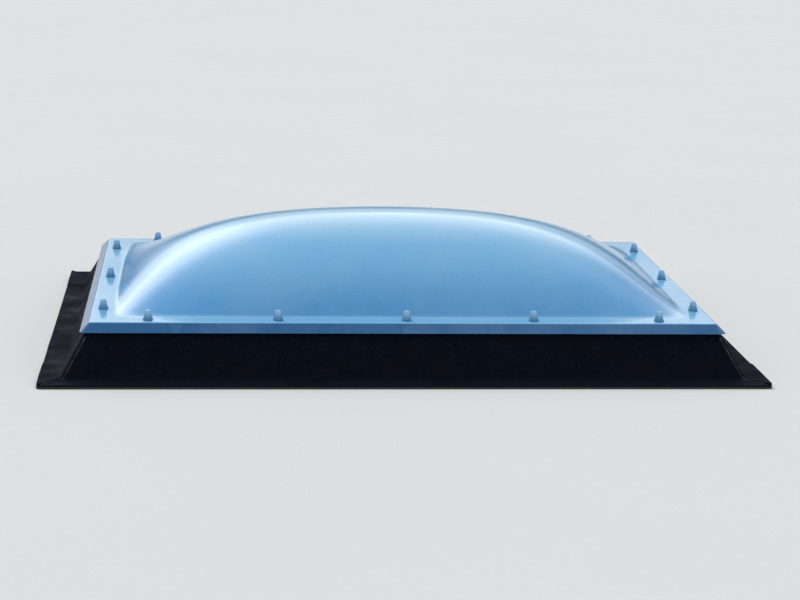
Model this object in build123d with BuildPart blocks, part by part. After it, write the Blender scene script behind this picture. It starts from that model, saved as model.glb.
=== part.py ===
# Fixed dome skylight for a flat roof: a double-skin blown dome, screwed down on a kerb
# that is dressed with roofing felt. Sizes are in millimetres. Z is up and X runs along
# the long side. The origin is the centre of the kerb's underside, on the roof deck.

from build123d import *
from math import atan, cos, sqrt
import os

os.makedirs("parts", exist_ok=True)

# Light opening and kerb
opening_length = 1600.0
opening_width = 1000.0
opening_corner = 40.0
rim_width = 56.0
rim_edge_round = 3.0
kerb_height = 136.0
well_flare = 100.0
wall_lean = 77.0
wall_corner = 12.0
foot_flange_width = 60.0
foot_flange_thickness = 6.0
foot_cove = 10.0

# Roofing felt on the kerb
felt_thickness = 4.0
felt_return = 80.0
felt_step = 12.0

# Seal on the rim, and tape between the skins
seal_thickness = 4.0
tape_thickness = 3.0
strip_setback = 3.0

# Outer dome
outer_thickness = 4.0
outer_rise = 205.0
flange_width = 60.0
flange_corner = 10.0
flange_bend = 5.0
outer_foot_round = 8.0
skirt_drop = 24.0
skirt_spread = 25.0
skirt_corner = 16.0

# Inner dome
inner_thickness = 3.0
inner_rise = 150.0
inner_bubble_inset = 10.0
inner_foot_round = 6.0

# Shape of a blown skin: 0 is a plain parabola, 1 is flat on top with a steep foot
fullness_along = 0.6
fullness_across = 0.25
corner_sink = 3.0

# Screwed fixings, equally spaced along each side of the flange
fixing_inset = 30.0
fixing_end_distance = 156.0
fixings_along = 5
fixings_across = 3
shank_diameter = 6.3
screw_length = 45.0
screw_tip = 6.0
head_across_flats = 10.0
head_height = 5.0
head_chamfer = 0.6
washer_diameter = 19.0
washer_thickness = 3.0
washer_rim = 1.6
cap_height = 27.0
cap_wall = 1.8
cap_taper = 4.0
cap_round = 4.0
cap_bead = 2.0
cap_bead_height = 4.0

# Clearances
screw_clearance = 0.15
cap_clearance = 0.3
expansion_clearance = 2.0
pilot_clearance = 2.0

# Kerb sizes worked out from the ones above
rim_length = opening_length + 2 * rim_width
rim_breadth = opening_width + 2 * rim_width
foot_length = rim_length + 2 * wall_lean
foot_breadth = rim_breadth + 2 * wall_lean
base_length = foot_length + 2 * foot_flange_width
base_breadth = foot_breadth + 2 * foot_flange_width
lean_angle = atan(wall_lean / kerb_height)
lap_line = rim_breadth / 2 - felt_return

# Heights of the stack on the rim
inner_seat = kerb_height + seal_thickness
tape_seat = inner_seat + inner_thickness
outer_seat = tape_seat + tape_thickness
flange_top = outer_seat + outer_thickness
screw_seat = flange_top + washer_thickness

# Flange and strip sizes
flange_length = opening_length + 2 * flange_width
flange_breadth = opening_width + 2 * flange_width
strip_length = rim_length - 2 * strip_setback
strip_breadth = rim_breadth - 2 * strip_setback

# Fixing rows and hole sizes
fixing_x = flange_length / 2 - fixing_inset
fixing_y = flange_breadth / 2 - fixing_inset
row_x = flange_length / 2 - fixing_end_distance
row_y = flange_breadth / 2 - fixing_end_distance
snug_hole = shank_diameter / 2 + screw_clearance
expansion_hole = shank_diameter / 2 + expansion_clearance
pilot_depth = screw_length + pilot_clearance - (screw_seat - kerb_height)


def fixing_points():
    points = {}
    for i in range(fixings_along):
        x = row_x * (2 * i / (fixings_along - 1) - 1)
        points[f"front_{i + 1}"] = (x, -fixing_y)
        points[f"back_{i + 1}"] = (x, fixing_y)
    for i in range(fixings_across):
        y = row_y * (2 * i / (fixings_across - 1) - 1)
        points[f"left_{i + 1}"] = (-fixing_x, y)
        points[f"right_{i + 1}"] = (fixing_x, y)
    return points


def fixings_at(height):
    return Locations(*[(x, y, height) for x, y in fixing_points().values()])


def crown_heights(fullness):
    # Control heights of a fourth-degree crown that is 1 high in the middle
    shoulder = 1 + fullness
    middle = 4 / 3 * (1 - fullness)
    return (0, shoulder, middle, shoulder, 0)


def crown_reach(fullness, level):
    # Share of the half width at which that crown has come down to a level
    blend = 1 - fullness
    root = sqrt(blend**2 + 4 * fullness * (1 - level))
    return sqrt((root - blend) / (2 * fullness))


def blown_bubble(length, width, rise, base_height):
    # The blown surface starts a little below its base plane, which rounds the corners
    crown = rise + corner_sink
    level = corner_sink / crown
    half_length = length / 2 / crown_reach(fullness_along, level)
    half_width = width / 2 / crown_reach(fullness_across, level)
    along = crown_heights(fullness_along)
    across = crown_heights(fullness_across)
    net = []
    for i, lift_along in enumerate(along):
        x = half_length * (2 * i / (len(along) - 1) - 1)
        row = []
        for j, lift_across in enumerate(across):
            y = half_width * (2 * j / (len(across) - 1) - 1)
            lift = crown * lift_along * lift_across - corner_sink
            row.append((x, y, base_height + lift))
        net.append(row)
    skin = Face.make_bezier_surface(net)
    with BuildPart() as bubble:
        extrude(skin, amount=crown + corner_sink, dir=(0, 0, -1))
        split(bisect_by=Plane.XY.offset(base_height), keep=Keep.TOP)
    return bubble.part


def kerb_envelope(skin):
    # The kerb's outside grown by a skin: leaning walls and the flange they stand on
    grow = skin / cos(lean_angle)
    corner = wall_corner + grow
    with BuildPart() as envelope:
        with BuildSketch(Plane.XY):
            RectangleRounded(foot_length + 2 * grow, foot_breadth + 2 * grow, corner)
        with BuildSketch(Plane.XY.offset(kerb_height)):
            RectangleRounded(rim_length + 2 * grow, rim_breadth + 2 * grow, corner)
        loft()
        with BuildSketch(Plane.XY):
            RectangleRounded(base_length, base_breadth, wall_corner)
        extrude(amount=foot_flange_thickness + skin)
        flange_face = envelope.faces().filter_by(Axis.Z).sort_by(Axis.Z)[-2]
        fillet(flange_face.inner_wires()[0].edges(), radius=foot_cove)
    return envelope.part


def pierced_strip(height, thickness):
    # A flat strip laid round the opening, pierced by every screw
    with BuildPart() as strip:
        with BuildSketch(Plane.XY.offset(height)):
            RectangleRounded(strip_length, strip_breadth, wall_corner)
            RectangleRounded(
                opening_length + 2 * strip_setback,
                opening_width + 2 * strip_setback,
                opening_corner,
                mode=Mode.SUBTRACT,
            )
            with Locations(*fixing_points().values()):
                Circle(snug_hole, mode=Mode.SUBTRACT)
        extrude(amount=thickness)
    return strip.part


def across_y(distance, side):
    # An upright plane across the width, facing outwards
    return Plane(origin=(0, side * distance, 0), z_dir=(0, side, 0))


# Kerb: one moulding with leaning walls, a flat rim and a foot flange
with BuildPart() as kerb:
    add(kerb_envelope(0))
    with BuildSketch(Plane.XY):
        RectangleRounded(opening_length + 2 * well_flare, opening_width + 2 * well_flare, opening_corner)
    with BuildSketch(Plane.XY.offset(kerb_height)):
        RectangleRounded(opening_length, opening_width, opening_corner)
    loft(mode=Mode.SUBTRACT)
    rim_face = kerb.faces().filter_by(Axis.Z).sort_by(Axis.Z)[-1]
    fillet(rim_face.inner_wires()[0].edges(), radius=rim_edge_round)
    with fixings_at(kerb_height):
        Hole(radius=snug_hole, depth=pilot_depth)
kerb.part.label = "kerb"
export_step(kerb.part, "parts/kerb.step")

# Felt: a first layer hugs the kerb, and a second one lies on the first at the laps
with BuildPart() as first_layer:
    add(kerb_envelope(felt_thickness))
    add(kerb_envelope(0), mode=Mode.SUBTRACT)

with BuildPart() as second_layer:
    add(kerb_envelope(2 * felt_thickness))
    add(kerb_envelope(felt_thickness), mode=Mode.SUBTRACT)

# The long strips cover the front and back walls and turn round the corners
with BuildPart() as felt_front:
    add(first_layer.part)
    split(bisect_by=across_y(lap_line, -1), keep=Keep.TOP)
felt_front.part.label = "felt_front"
export_step(felt_front.part, "parts/felt_front.step")

with BuildPart() as felt_back:
    add(first_layer.part)
    split(bisect_by=across_y(lap_line, 1), keep=Keep.TOP)
felt_back.part.label = "felt_back"
export_step(felt_back.part, "parts/felt_back.step")


def side_lap(side, end):
    # The end of a short strip: it lies on a long strip's return, up to the corner
    corner = (side * rim_length / 2, end * rim_breadth / 2, 0)
    with BuildPart() as lap:
        add(second_layer.part)
        split(bisect_by=Plane(origin=corner, z_dir=(side, -end, 0)), keep=Keep.TOP)
        split(bisect_by=across_y(lap_line - felt_step, end), keep=Keep.TOP)
    return lap.part


def side_strip(side):
    # A short strip butts between two returns and steps up over both of them
    with BuildPart() as strip:
        add(first_layer.part)
        split(bisect_by=Plane(origin=(0, 0, 0), z_dir=(side, 0, 0)), keep=Keep.TOP)
        split(bisect_by=across_y(lap_line, -1), keep=Keep.BOTTOM)
        split(bisect_by=across_y(lap_line, 1), keep=Keep.BOTTOM)
        add(side_lap(side, -1))
        add(side_lap(side, 1))
    return strip.part


felt_left = side_strip(-1)
felt_left.label = "felt_left"
export_step(felt_left, "parts/felt_left.step")

felt_right = side_strip(1)
felt_right.label = "felt_right"
export_step(felt_right, "parts/felt_right.step")

# Seal on the rim, and tape between the two skins
kerb_seal = pierced_strip(kerb_height, seal_thickness)
kerb_seal.label = "kerb_seal"
export_step(kerb_seal, "parts/kerb_seal.step")

spacer_tape = pierced_strip(tape_seat, tape_thickness)
spacer_tape.label = "spacer_tape"
export_step(spacer_tape, "parts/spacer_tape.step")

# Inner dome: a lower blown skin with a flat flange
inner_length = opening_length - 2 * inner_bubble_inset
inner_width = opening_width - 2 * inner_bubble_inset
with BuildPart() as inner_dome:
    with BuildSketch(Plane.XY.offset(inner_seat)):
        RectangleRounded(strip_length, strip_breadth, wall_corner)
    extrude(amount=inner_thickness)
    add(blown_bubble(inner_length, inner_width, inner_rise, tape_seat))
    top_face = inner_dome.faces().filter_by(Axis.Z).sort_by(Axis.Z)[-1]
    fillet(top_face.inner_wires()[0].edges(), radius=inner_foot_round)
    add(blown_bubble(inner_length, inner_width, inner_rise, inner_seat), mode=Mode.SUBTRACT)
    with fixings_at(tape_seat):
        Hole(radius=snug_hole, depth=2 * inner_thickness)
inner_dome.part.label = "inner_dome"
export_step(inner_dome.part, "parts/inner_dome.step")

# Outer dome: blown skin, flat flange and turned-down drip skirt in one sheet
skirt_angle = atan(skirt_spread / skirt_drop)
skirt_inward = outer_thickness / cos(skirt_angle)
seat_spread = skirt_spread * outer_thickness / skirt_drop - skirt_inward
lip_spread = skirt_spread - skirt_inward
skirt_foot = flange_top - skirt_drop
with BuildPart() as outer_dome:
    with BuildSketch(Plane.XY.offset(skirt_foot)):
        RectangleRounded(flange_length + 2 * skirt_spread, flange_breadth + 2 * skirt_spread, skirt_corner)
    with BuildSketch(Plane.XY.offset(flange_top)):
        RectangleRounded(flange_length, flange_breadth, flange_corner)
    loft()
    fillet(outer_dome.faces().sort_by(Axis.Z)[-1].edges(), radius=flange_bend)
    add(blown_bubble(opening_length, opening_width, outer_rise, flange_top))
    flange_face = outer_dome.faces().filter_by(Axis.Z).sort_by(Axis.Z)[-1]
    fillet(flange_face.inner_wires()[0].edges(), radius=outer_foot_round)
    with BuildSketch(Plane.XY.offset(skirt_foot)):
        RectangleRounded(flange_length + 2 * lip_spread, flange_breadth + 2 * lip_spread, skirt_corner)
    with BuildSketch(Plane.XY.offset(outer_seat)):
        RectangleRounded(flange_length + 2 * seat_spread, flange_breadth + 2 * seat_spread, flange_corner)
    loft(mode=Mode.SUBTRACT)
    add(blown_bubble(opening_length, opening_width, outer_rise, outer_seat), mode=Mode.SUBTRACT)
    with fixings_at(flange_top):
        Hole(radius=expansion_hole, depth=2 * outer_thickness)
outer_dome.part.label = "outer_dome"
export_step(outer_dome.part, "parts/outer_dome.step")

# One fixing, modelled on the origin with its seat at zero height
with BuildPart() as screw:
    with BuildSketch(Plane.XY):
        RegularPolygon(radius=head_across_flats / 2, side_count=6, major_radius=False)
    extrude(amount=head_height)
    chamfer(screw.faces().sort_by(Axis.Z)[-1].edges(), length=head_chamfer)
    with BuildSketch(Plane.XZ):
        with BuildLine():
            Polyline(
                (0, 0),
                (shank_diameter / 2, 0),
                (shank_diameter / 2, screw_tip - screw_length),
                (0, -screw_length),
                close=True,
            )
        make_face()
    revolve(axis=Axis.Z)

with BuildPart() as washer:
    with BuildSketch(Plane.XZ):
        with BuildLine():
            Polyline(
                (snug_hole, 0),
                (washer_diameter / 2, 0),
                (washer_diameter / 2, washer_rim),
                (head_across_flats / 2 + washer_rim, washer_thickness),
                (snug_hole, washer_thickness),
                close=True,
            )
        make_face()
    revolve(axis=Axis.Z)

cap_bore = washer_diameter / 2 + cap_clearance
cap_radius = cap_bore + cap_wall
with BuildPart() as cap:
    with BuildSketch(Plane.XZ):
        with BuildLine():
            Polyline(
                (0, 0),
                (cap_radius + cap_bead, 0),
                (cap_radius + cap_bead, cap_bead_height),
                (cap_radius, cap_bead_height + cap_bead),
                (cap_radius - cap_taper, cap_height),
                (0, cap_height),
                close=True,
            )
        make_face()
        top_corner = vertices().group_by(Axis.Y)[-1].sort_by(Axis.X)[-1]
        fillet(top_corner, radius=cap_round)
        with BuildLine():
            Polyline(
                (0, 0),
                (cap_bore, 0),
                (cap_bore, washer_thickness),
                (cap_bore - cap_taper, cap_height - cap_wall),
                (0, cap_height - cap_wall),
                close=True,
            )
        make_face(mode=Mode.SUBTRACT)
    revolve(axis=Axis.Z)

# Every fixing is a screw, its sealing washer and the cap over both
for place, (x, y) in fixing_points().items():
    placed_screw = Pos(x, y, screw_seat) * screw.part
    placed_screw.label = f"screw_{place}"
    export_step(placed_screw, f"parts/screw_{place}.step")
    placed_washer = Pos(x, y, flange_top) * washer.part
    placed_washer.label = f"washer_{place}"
    export_step(placed_washer, f"parts/washer_{place}.step")
    placed_cap = Pos(x, y, flange_top) * cap.part
    placed_cap.label = f"cap_{place}"
    export_step(placed_cap, f"parts/cap_{place}.step")
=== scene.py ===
import math
import bmesh
import bpy
from mathutils import Matrix, Vector, noise


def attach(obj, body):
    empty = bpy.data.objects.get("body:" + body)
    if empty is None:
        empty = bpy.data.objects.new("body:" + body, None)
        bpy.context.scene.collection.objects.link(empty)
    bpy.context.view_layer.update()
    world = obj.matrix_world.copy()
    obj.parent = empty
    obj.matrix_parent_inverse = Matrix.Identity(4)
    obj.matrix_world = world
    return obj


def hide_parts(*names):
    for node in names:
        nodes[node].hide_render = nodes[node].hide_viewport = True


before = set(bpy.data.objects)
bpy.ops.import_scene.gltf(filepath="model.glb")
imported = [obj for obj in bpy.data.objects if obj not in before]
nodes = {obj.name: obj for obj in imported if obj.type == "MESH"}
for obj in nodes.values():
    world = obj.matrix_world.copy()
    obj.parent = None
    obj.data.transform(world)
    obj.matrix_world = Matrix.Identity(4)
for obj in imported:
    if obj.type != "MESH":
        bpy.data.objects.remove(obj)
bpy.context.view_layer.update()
mm = 0.001
mergeGap = 0.02 * mm  # points nearer than this are one
print("loaded the packed skylight:", len(nodes), "nodes")

# settings that many nodes share; a colour mix has its share in 0, its colours in 6 and 7, and comes out of 2
sums, vectors = "ShaderNodeMath", "ShaderNodeVectorMath"
colourMix = {"data_type": "RGBA"}
smoothStep = {"interpolation_type": "SMOOTHSTEP"}
vectorRead = {"data_type": "FLOAT_VECTOR"}
vectorStore = {"data_type": "FLOAT_VECTOR", "domain": "POINT"}
onTheFlat = (1.0, 1.0, 0.0)  # what a vector is multiplied by to lose its height


def hexColour(text):
    # sRGB hex to the linear colour that shaders expect
    parts = [int(text[i:i + 2], 16) / 255 for i in (1, 3, 5)]
    return tuple(p / 12.92 if p <= 0.04045 else ((p + 0.055) / 1.055) ** 2.4 for p in parts) + (1.0,)


def fillInputs(tree, node, inputs):
    # an input takes a value, or a link where it is given a socket
    for name, value in inputs.items():
        if isinstance(value, bpy.types.NodeSocket):
            tree.links.new(value, node.inputs[name])
        else:
            node.inputs[name].default_value = value


def addNode(tree, kind, setup=None, inputs=None):
    # setup holds the node's own settings, inputs holds values or sockets to link
    node = tree.nodes.new(kind)
    for name, value in (setup or {}).items():
        setattr(node, name, value)
    fillInputs(tree, node, inputs or {})
    return node


def addSteps(tree, kind, known, steps):
    # a formula line by line: each step is (result, operation, terms), with names looked up in known
    for result, operation, *terms in steps:
        places = (0, 3) if operation == "SCALE" else range(len(terms))  # a scale has its own socket
        values = {i: known.get(t, t) if isinstance(t, str) else t for i, t in zip(places, terms)}
        known[result] = addNode(tree, kind, {"operation": operation}, values).outputs[0]
    return known


def startTree(name, inputs, output="Geometry"):
    # a geometry group with named inputs, given kind by kind, and its input and output nodes
    tree = bpy.data.node_groups.new(name, "GeometryNodeTree")
    for kind, labels in inputs.items():
        for label in labels:
            tree.interface.new_socket(label, in_out="INPUT", socket_type="NodeSocket" + kind)
    tree.interface.new_socket("Result", in_out="OUTPUT", socket_type="NodeSocket" + output)
    given = addNode(tree, "NodeGroupInput").outputs
    return tree, {s.name: s for s in given if s.name}, addNode(tree, "NodeGroupOutput")


def endTree(tree, shape, material, result):
    # every piece's tree ends like this, because the export drops instances
    real = addNode(tree, "GeometryNodeRealizeInstances", None, {0: shape}).outputs[0]
    painted = addNode(tree, "GeometryNodeSetMaterial", None, {"Geometry": real, "Material": material}).outputs[0]
    tree.links.new(painted, result.inputs[0])


def grow(name, tree, values, source=None):
    # runs a tree with these inputs, and keeps the outcome as a plain mesh
    holder = bpy.data.objects.new(name + "Source", source or bpy.data.meshes.new(name + "Source"))
    bpy.context.scene.collection.objects.link(holder)
    modifier = holder.modifiers.new("grow", "NODES")
    modifier.node_group = tree
    for item in tree.interface.items_tree:
        if item.item_type == "SOCKET" and item.in_out == "INPUT" and item.name in values:
            modifier[item.identifier] = values[item.name]
    graph = bpy.context.evaluated_depsgraph_get()
    mesh = bpy.data.meshes.new_from_object(holder.evaluated_get(graph), depsgraph=graph)
    bpy.data.objects.remove(holder)
    for index in reversed([i for i, m in enumerate(mesh.materials) if m is None]):
        mesh.materials.pop(index=index)  # the empty slot that mesh primitives bring along
    mesh.name = name
    piece = bpy.data.objects.new(name, mesh)
    bpy.context.scene.collection.objects.link(piece)
    return piece


def closeUp(piece, sharpAngle):
    # merged doubles, faces outward, smooth shading that breaks at edges sharper than this many degrees
    work = bmesh.new()
    work.from_mesh(piece.data)
    bmesh.ops.remove_doubles(work, verts=work.verts, dist=mergeGap)
    bmesh.ops.recalc_face_normals(work, faces=work.faces)
    for face in work.faces:
        face.smooth = True
    for edge in work.edges:
        edge.smooth = not (edge.is_manifold and edge.calc_face_angle() > math.radians(sharpAngle))
    work.to_mesh(piece.data)
    work.free()


# the camera takes the photograph's standpoint, with a longer lens on this one skylight
cameraSet = {
    "place": (-0.5395, -5.7557, 1.4482), "aim": (0.0289, -0.0421, 0.0911), "roll": -1.53,
    "lens": 88.8, "sensor": 36.0, "sees as far as": 200.0,
}
eye = bpy.data.objects.new("camera", bpy.data.cameras.new("camera"))
bpy.context.scene.collection.objects.link(eye)
eye.data.lens = cameraSet["lens"]
eye.data.sensor_width = cameraSet["sensor"]
eye.data.clip_end = cameraSet["sees as far as"]
eye.location = cameraSet["place"]
aimLine = Vector(cameraSet["aim"]) - Vector(cameraSet["place"])
roll = Matrix.Rotation(math.radians(-cameraSet["roll"]), 3, "Z")
eye.rotation_euler = (aimLine.to_track_quat("-Z", "Y").to_matrix() @ roll).to_euler()
bpy.context.scene.camera = eye
print("camera set")


# where the screws go, in mm from the middle: both skins are drilled and the caps are set from these
fixings = {
    "row x": 704.0, "row y": 404.0, "side x": 830.0, "side y": 530.0, "along": 5, "across": 3,
    "hole sides": 28, "drill length": 12.0,
}

spotsTree, spotsIn, spotsOut = startTree("fixingSpots", {
    "Float": ("Seat", "Row X", "Row Y", "Side X", "Side Y"), "Int": ("Along", "Across")})
spots = addNode(spotsTree, "GeometryNodeJoinGeometry")
for rowEnd, rowSide, count, (alongAxis, sideAxis) in (
        ("Row X", "Side Y", "Along", "XY"), ("Row Y", "Side X", "Across", "YX")):
    for side in (-1.0, 1.0):
        row = addSteps(spotsTree, sums, dict(spotsIn), [
            ("first", "MULTIPLY", rowEnd, -1.0),
            ("aside", "MULTIPLY", rowSide, side),
            ("gaps", "SUBTRACT", count, 1.0),
            ("length", "MULTIPLY", rowEnd, 2.0),
            ("pitch", "DIVIDE", "length", "gaps"),
        ])
        begin = addNode(spotsTree, "ShaderNodeCombineXYZ", None, {
            alongAxis: row["first"], sideAxis: row["aside"], "Z": spotsIn["Seat"]}).outputs[0]
        stride = addNode(spotsTree, "ShaderNodeCombineXYZ", None, {alongAxis: row["pitch"]}).outputs[0]
        line = addNode(spotsTree, "GeometryNodeMeshLine", None, {
            "Count": spotsIn[count], "Start Location": begin, "Offset": stride}).outputs[0]
        spotsTree.links.new(line, spots.inputs[0])
spotsTree.links.new(spots.outputs[0], spotsOut.inputs[0])


def spotsNode(tree, seat):
    # the spots inside another tree, at this height
    return addNode(tree, "GeometryNodeGroup", {"node_tree": spotsTree}, {
        "Seat": seat, "Row X": fixings["row x"] * mm, "Row Y": fixings["row y"] * mm,
        "Side X": fixings["side x"] * mm, "Side Y": fixings["side y"] * mm,
        "Along": fixings["along"], "Across": fixings["across"]}).outputs[0]


# one rule gives both blown skins: a crown that is fuller along than across, a foot fillet, a flat
# flange and a rim
skinShape = {
    "fullness along": 0.6, "fullness across": 0.25, "corner sink": 3.0, "steps per quarter": 96,
    "crowding": 0.55,  # how far the steps gather at the corners
    "foot rings": (0.25, 0.5, 0.75, 1.0, 1.5),  # the fillet up to 1, then a short flat
    "sharp": 32.0,
}

# the rim goes in shares of spread, drop and corner from the flange's flat to its underside
outerSkin = {
    "length": 1600.0, "width": 1000.0, "rise": 205.0, "top": 150.0, "thickness": 4.0,
    "half length": 860.0, "half breadth": 560.0, "corner": 10.0, "lip corner": 16.0,
    "drop": 24.0, "spread": 25.0, "fillet height": 3.2, "hole": 10.3, "rows inside": 40, "rows on top": 64,
    # flat, the bend, the drip skirt, its lip, and back inside
    "rim": [(-0.2, 0.0, 0.0), (-0.0828, 0.0, 0.0), (-0.035, 0.0085, 0.03), (0.02, 0.036, 0.06),
            (0.0828, 0.0828, 0.08), (0.16, 0.16, 0.16), (0.97, 0.97, 1.0), (1.0, 1.0, 1.0),
            (0.769, 1.0, 1.0), (-0.0643, 0.1667, 0.0)],
}

innerSkin = {
    "length": 1580.0, "width": 980.0, "rise": 150.0, "top": 143.0, "thickness": 3.0,
    "half length": 853.0, "half breadth": 553.0, "corner": 12.0, "lip corner": 12.0,
    "drop": 3.0, "spread": 0.0, "fillet height": 2.2, "hole": 6.6, "rows inside": 32, "rows on top": 40,
    "rim": [(0.0, 0.0, 0.0), (0.0, 1.0, 0.0)],  # a cut edge
}


def crownReach(fullness, level):
    blend = 1 - fullness
    return math.sqrt((math.sqrt(blend ** 2 + 4 * fullness * (1 - level)) - blend) / (2 * fullness))


# share of the half width at which the crown has come down to a level
reachTree, reachIn, reachOut = startTree("crownReach", {"Float": ("Fullness", "Level")}, "Float")
known = addSteps(reachTree, sums, dict(reachIn), [
    ("blend", "SUBTRACT", 1.0, "Fullness"),
    ("fall", "SUBTRACT", 1.0, "Level"),
    ("fourfold", "MULTIPLY", "Fullness", 4.0),
    ("square", "MULTIPLY", "blend", "blend"),
    ("under", "MULTIPLY_ADD", "fourfold", "fall", "square"),
    ("root", "SQRT", "under"),
    ("lead", "SUBTRACT", "root", "blend"),
    ("twice", "MULTIPLY", "Fullness", 2.0),
    ("share", "DIVIDE", "lead", "twice"),
    ("positive", "MAXIMUM", "share", 0.0),
    ("reach", "SQRT", "positive"),
])
reachTree.links.new(known["reach"], reachOut.inputs[0])

# a point on the contour line of the blown surface: Around goes once round, Level is its height share
contourTree, contourIn, contourOut = startTree("contourPoint", {
    "Float": ("Around", "Level", "Half Length", "Half Width", "Fullness Along", "Fullness Across")}, "Vector")
known = addSteps(contourTree, sums, dict(contourIn), [
    ("eighths", "MULTIPLY", "Around", 8 * math.pi),
    ("wave", "SINE", "eighths"),
    ("evened", "MULTIPLY_ADD", "wave", skinShape["crowding"] / (8 * math.pi), "Around"),
    ("turn", "MULTIPLY", "evened", 2 * math.pi),
    ("twiceTurn", "MULTIPLY", "turn", 2.0),
    ("twiceCosine", "COSINE", "twiceTurn"),
    ("acrossShare", "MULTIPLY_ADD", "twiceCosine", -0.5, 0.5),
    ("alongShare", "SUBTRACT", 1.0, "acrossShare"),
    ("alongLevel", "POWER", "Level", "alongShare"),
    ("acrossLevel", "POWER", "Level", "acrossShare"),
    ("cosine", "COSINE", "turn"),
    ("sine", "SINE", "turn"),
    ("alongSide", "SIGN", "cosine"),
    ("acrossSide", "SIGN", "sine"),
])
for axis in ("along", "across"):
    known[axis + "Reach"] = addNode(contourTree, "GeometryNodeGroup", {"node_tree": reachTree}, {
        "Fullness": known["Fullness " + axis.title()], "Level": known[axis + "Level"]}).outputs[0]
known = addSteps(contourTree, sums, known, [
    ("x", "MULTIPLY", "alongReach", "Half Length"),
    ("y", "MULTIPLY", "acrossReach", "Half Width"),
    ("signedX", "MULTIPLY", "x", "alongSide"),
    ("signedY", "MULTIPLY", "y", "acrossSide"),
])
point = addNode(contourTree, "ShaderNodeCombineXYZ", None, {"X": known["signedX"], "Y": known["signedY"]})
contourTree.links.new(point.outputs[0], contourOut.inputs[0])

# a point on a rectangle with round corners, in the direction of a point on the foot contour
outlineTree, outlineIn, outlineOut = startTree("roundedOutline", {
    "Vector": ("Toward", "Half Size"), "Float": ("Corner",)}, "Vector")
size = addNode(outlineTree, vectors, {"operation": "ABSOLUTE"}, {0: outlineIn["Toward"]}).outputs[0]
split = addNode(outlineTree, "ShaderNodeSeparateXYZ", None, {0: size}).outputs
largest = addNode(outlineTree, sums, {"operation": "MAXIMUM"}, {0: split["X"], 1: split["Y"]}).outputs[0]
known = addSteps(outlineTree, vectors, {**outlineIn, "largest": largest}, [
    ("unit", "DIVIDE", "Toward", "largest"),
    ("square", "MULTIPLY", "unit", "Half Size"),
    ("inset", "SUBTRACT", "Half Size", "Corner"),
    ("minus", "SCALE", "inset", -1.0),
    ("upper", "MINIMUM", "square", "inset"),
    ("core", "MAXIMUM", "upper", "minus"),
    ("beyond", "SUBTRACT", "square", "core"),
    ("flat", "MULTIPLY", "beyond", onTheFlat),
    ("heading", "NORMALIZE", "flat"),
    ("rounded", "SCALE", "heading", "Corner"),
    ("placed", "ADD", "core", "rounded"),
    ("level", "MULTIPLY", "placed", onTheFlat),
])
outlineTree.links.new(known["level"], outlineOut.inputs[0])


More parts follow.
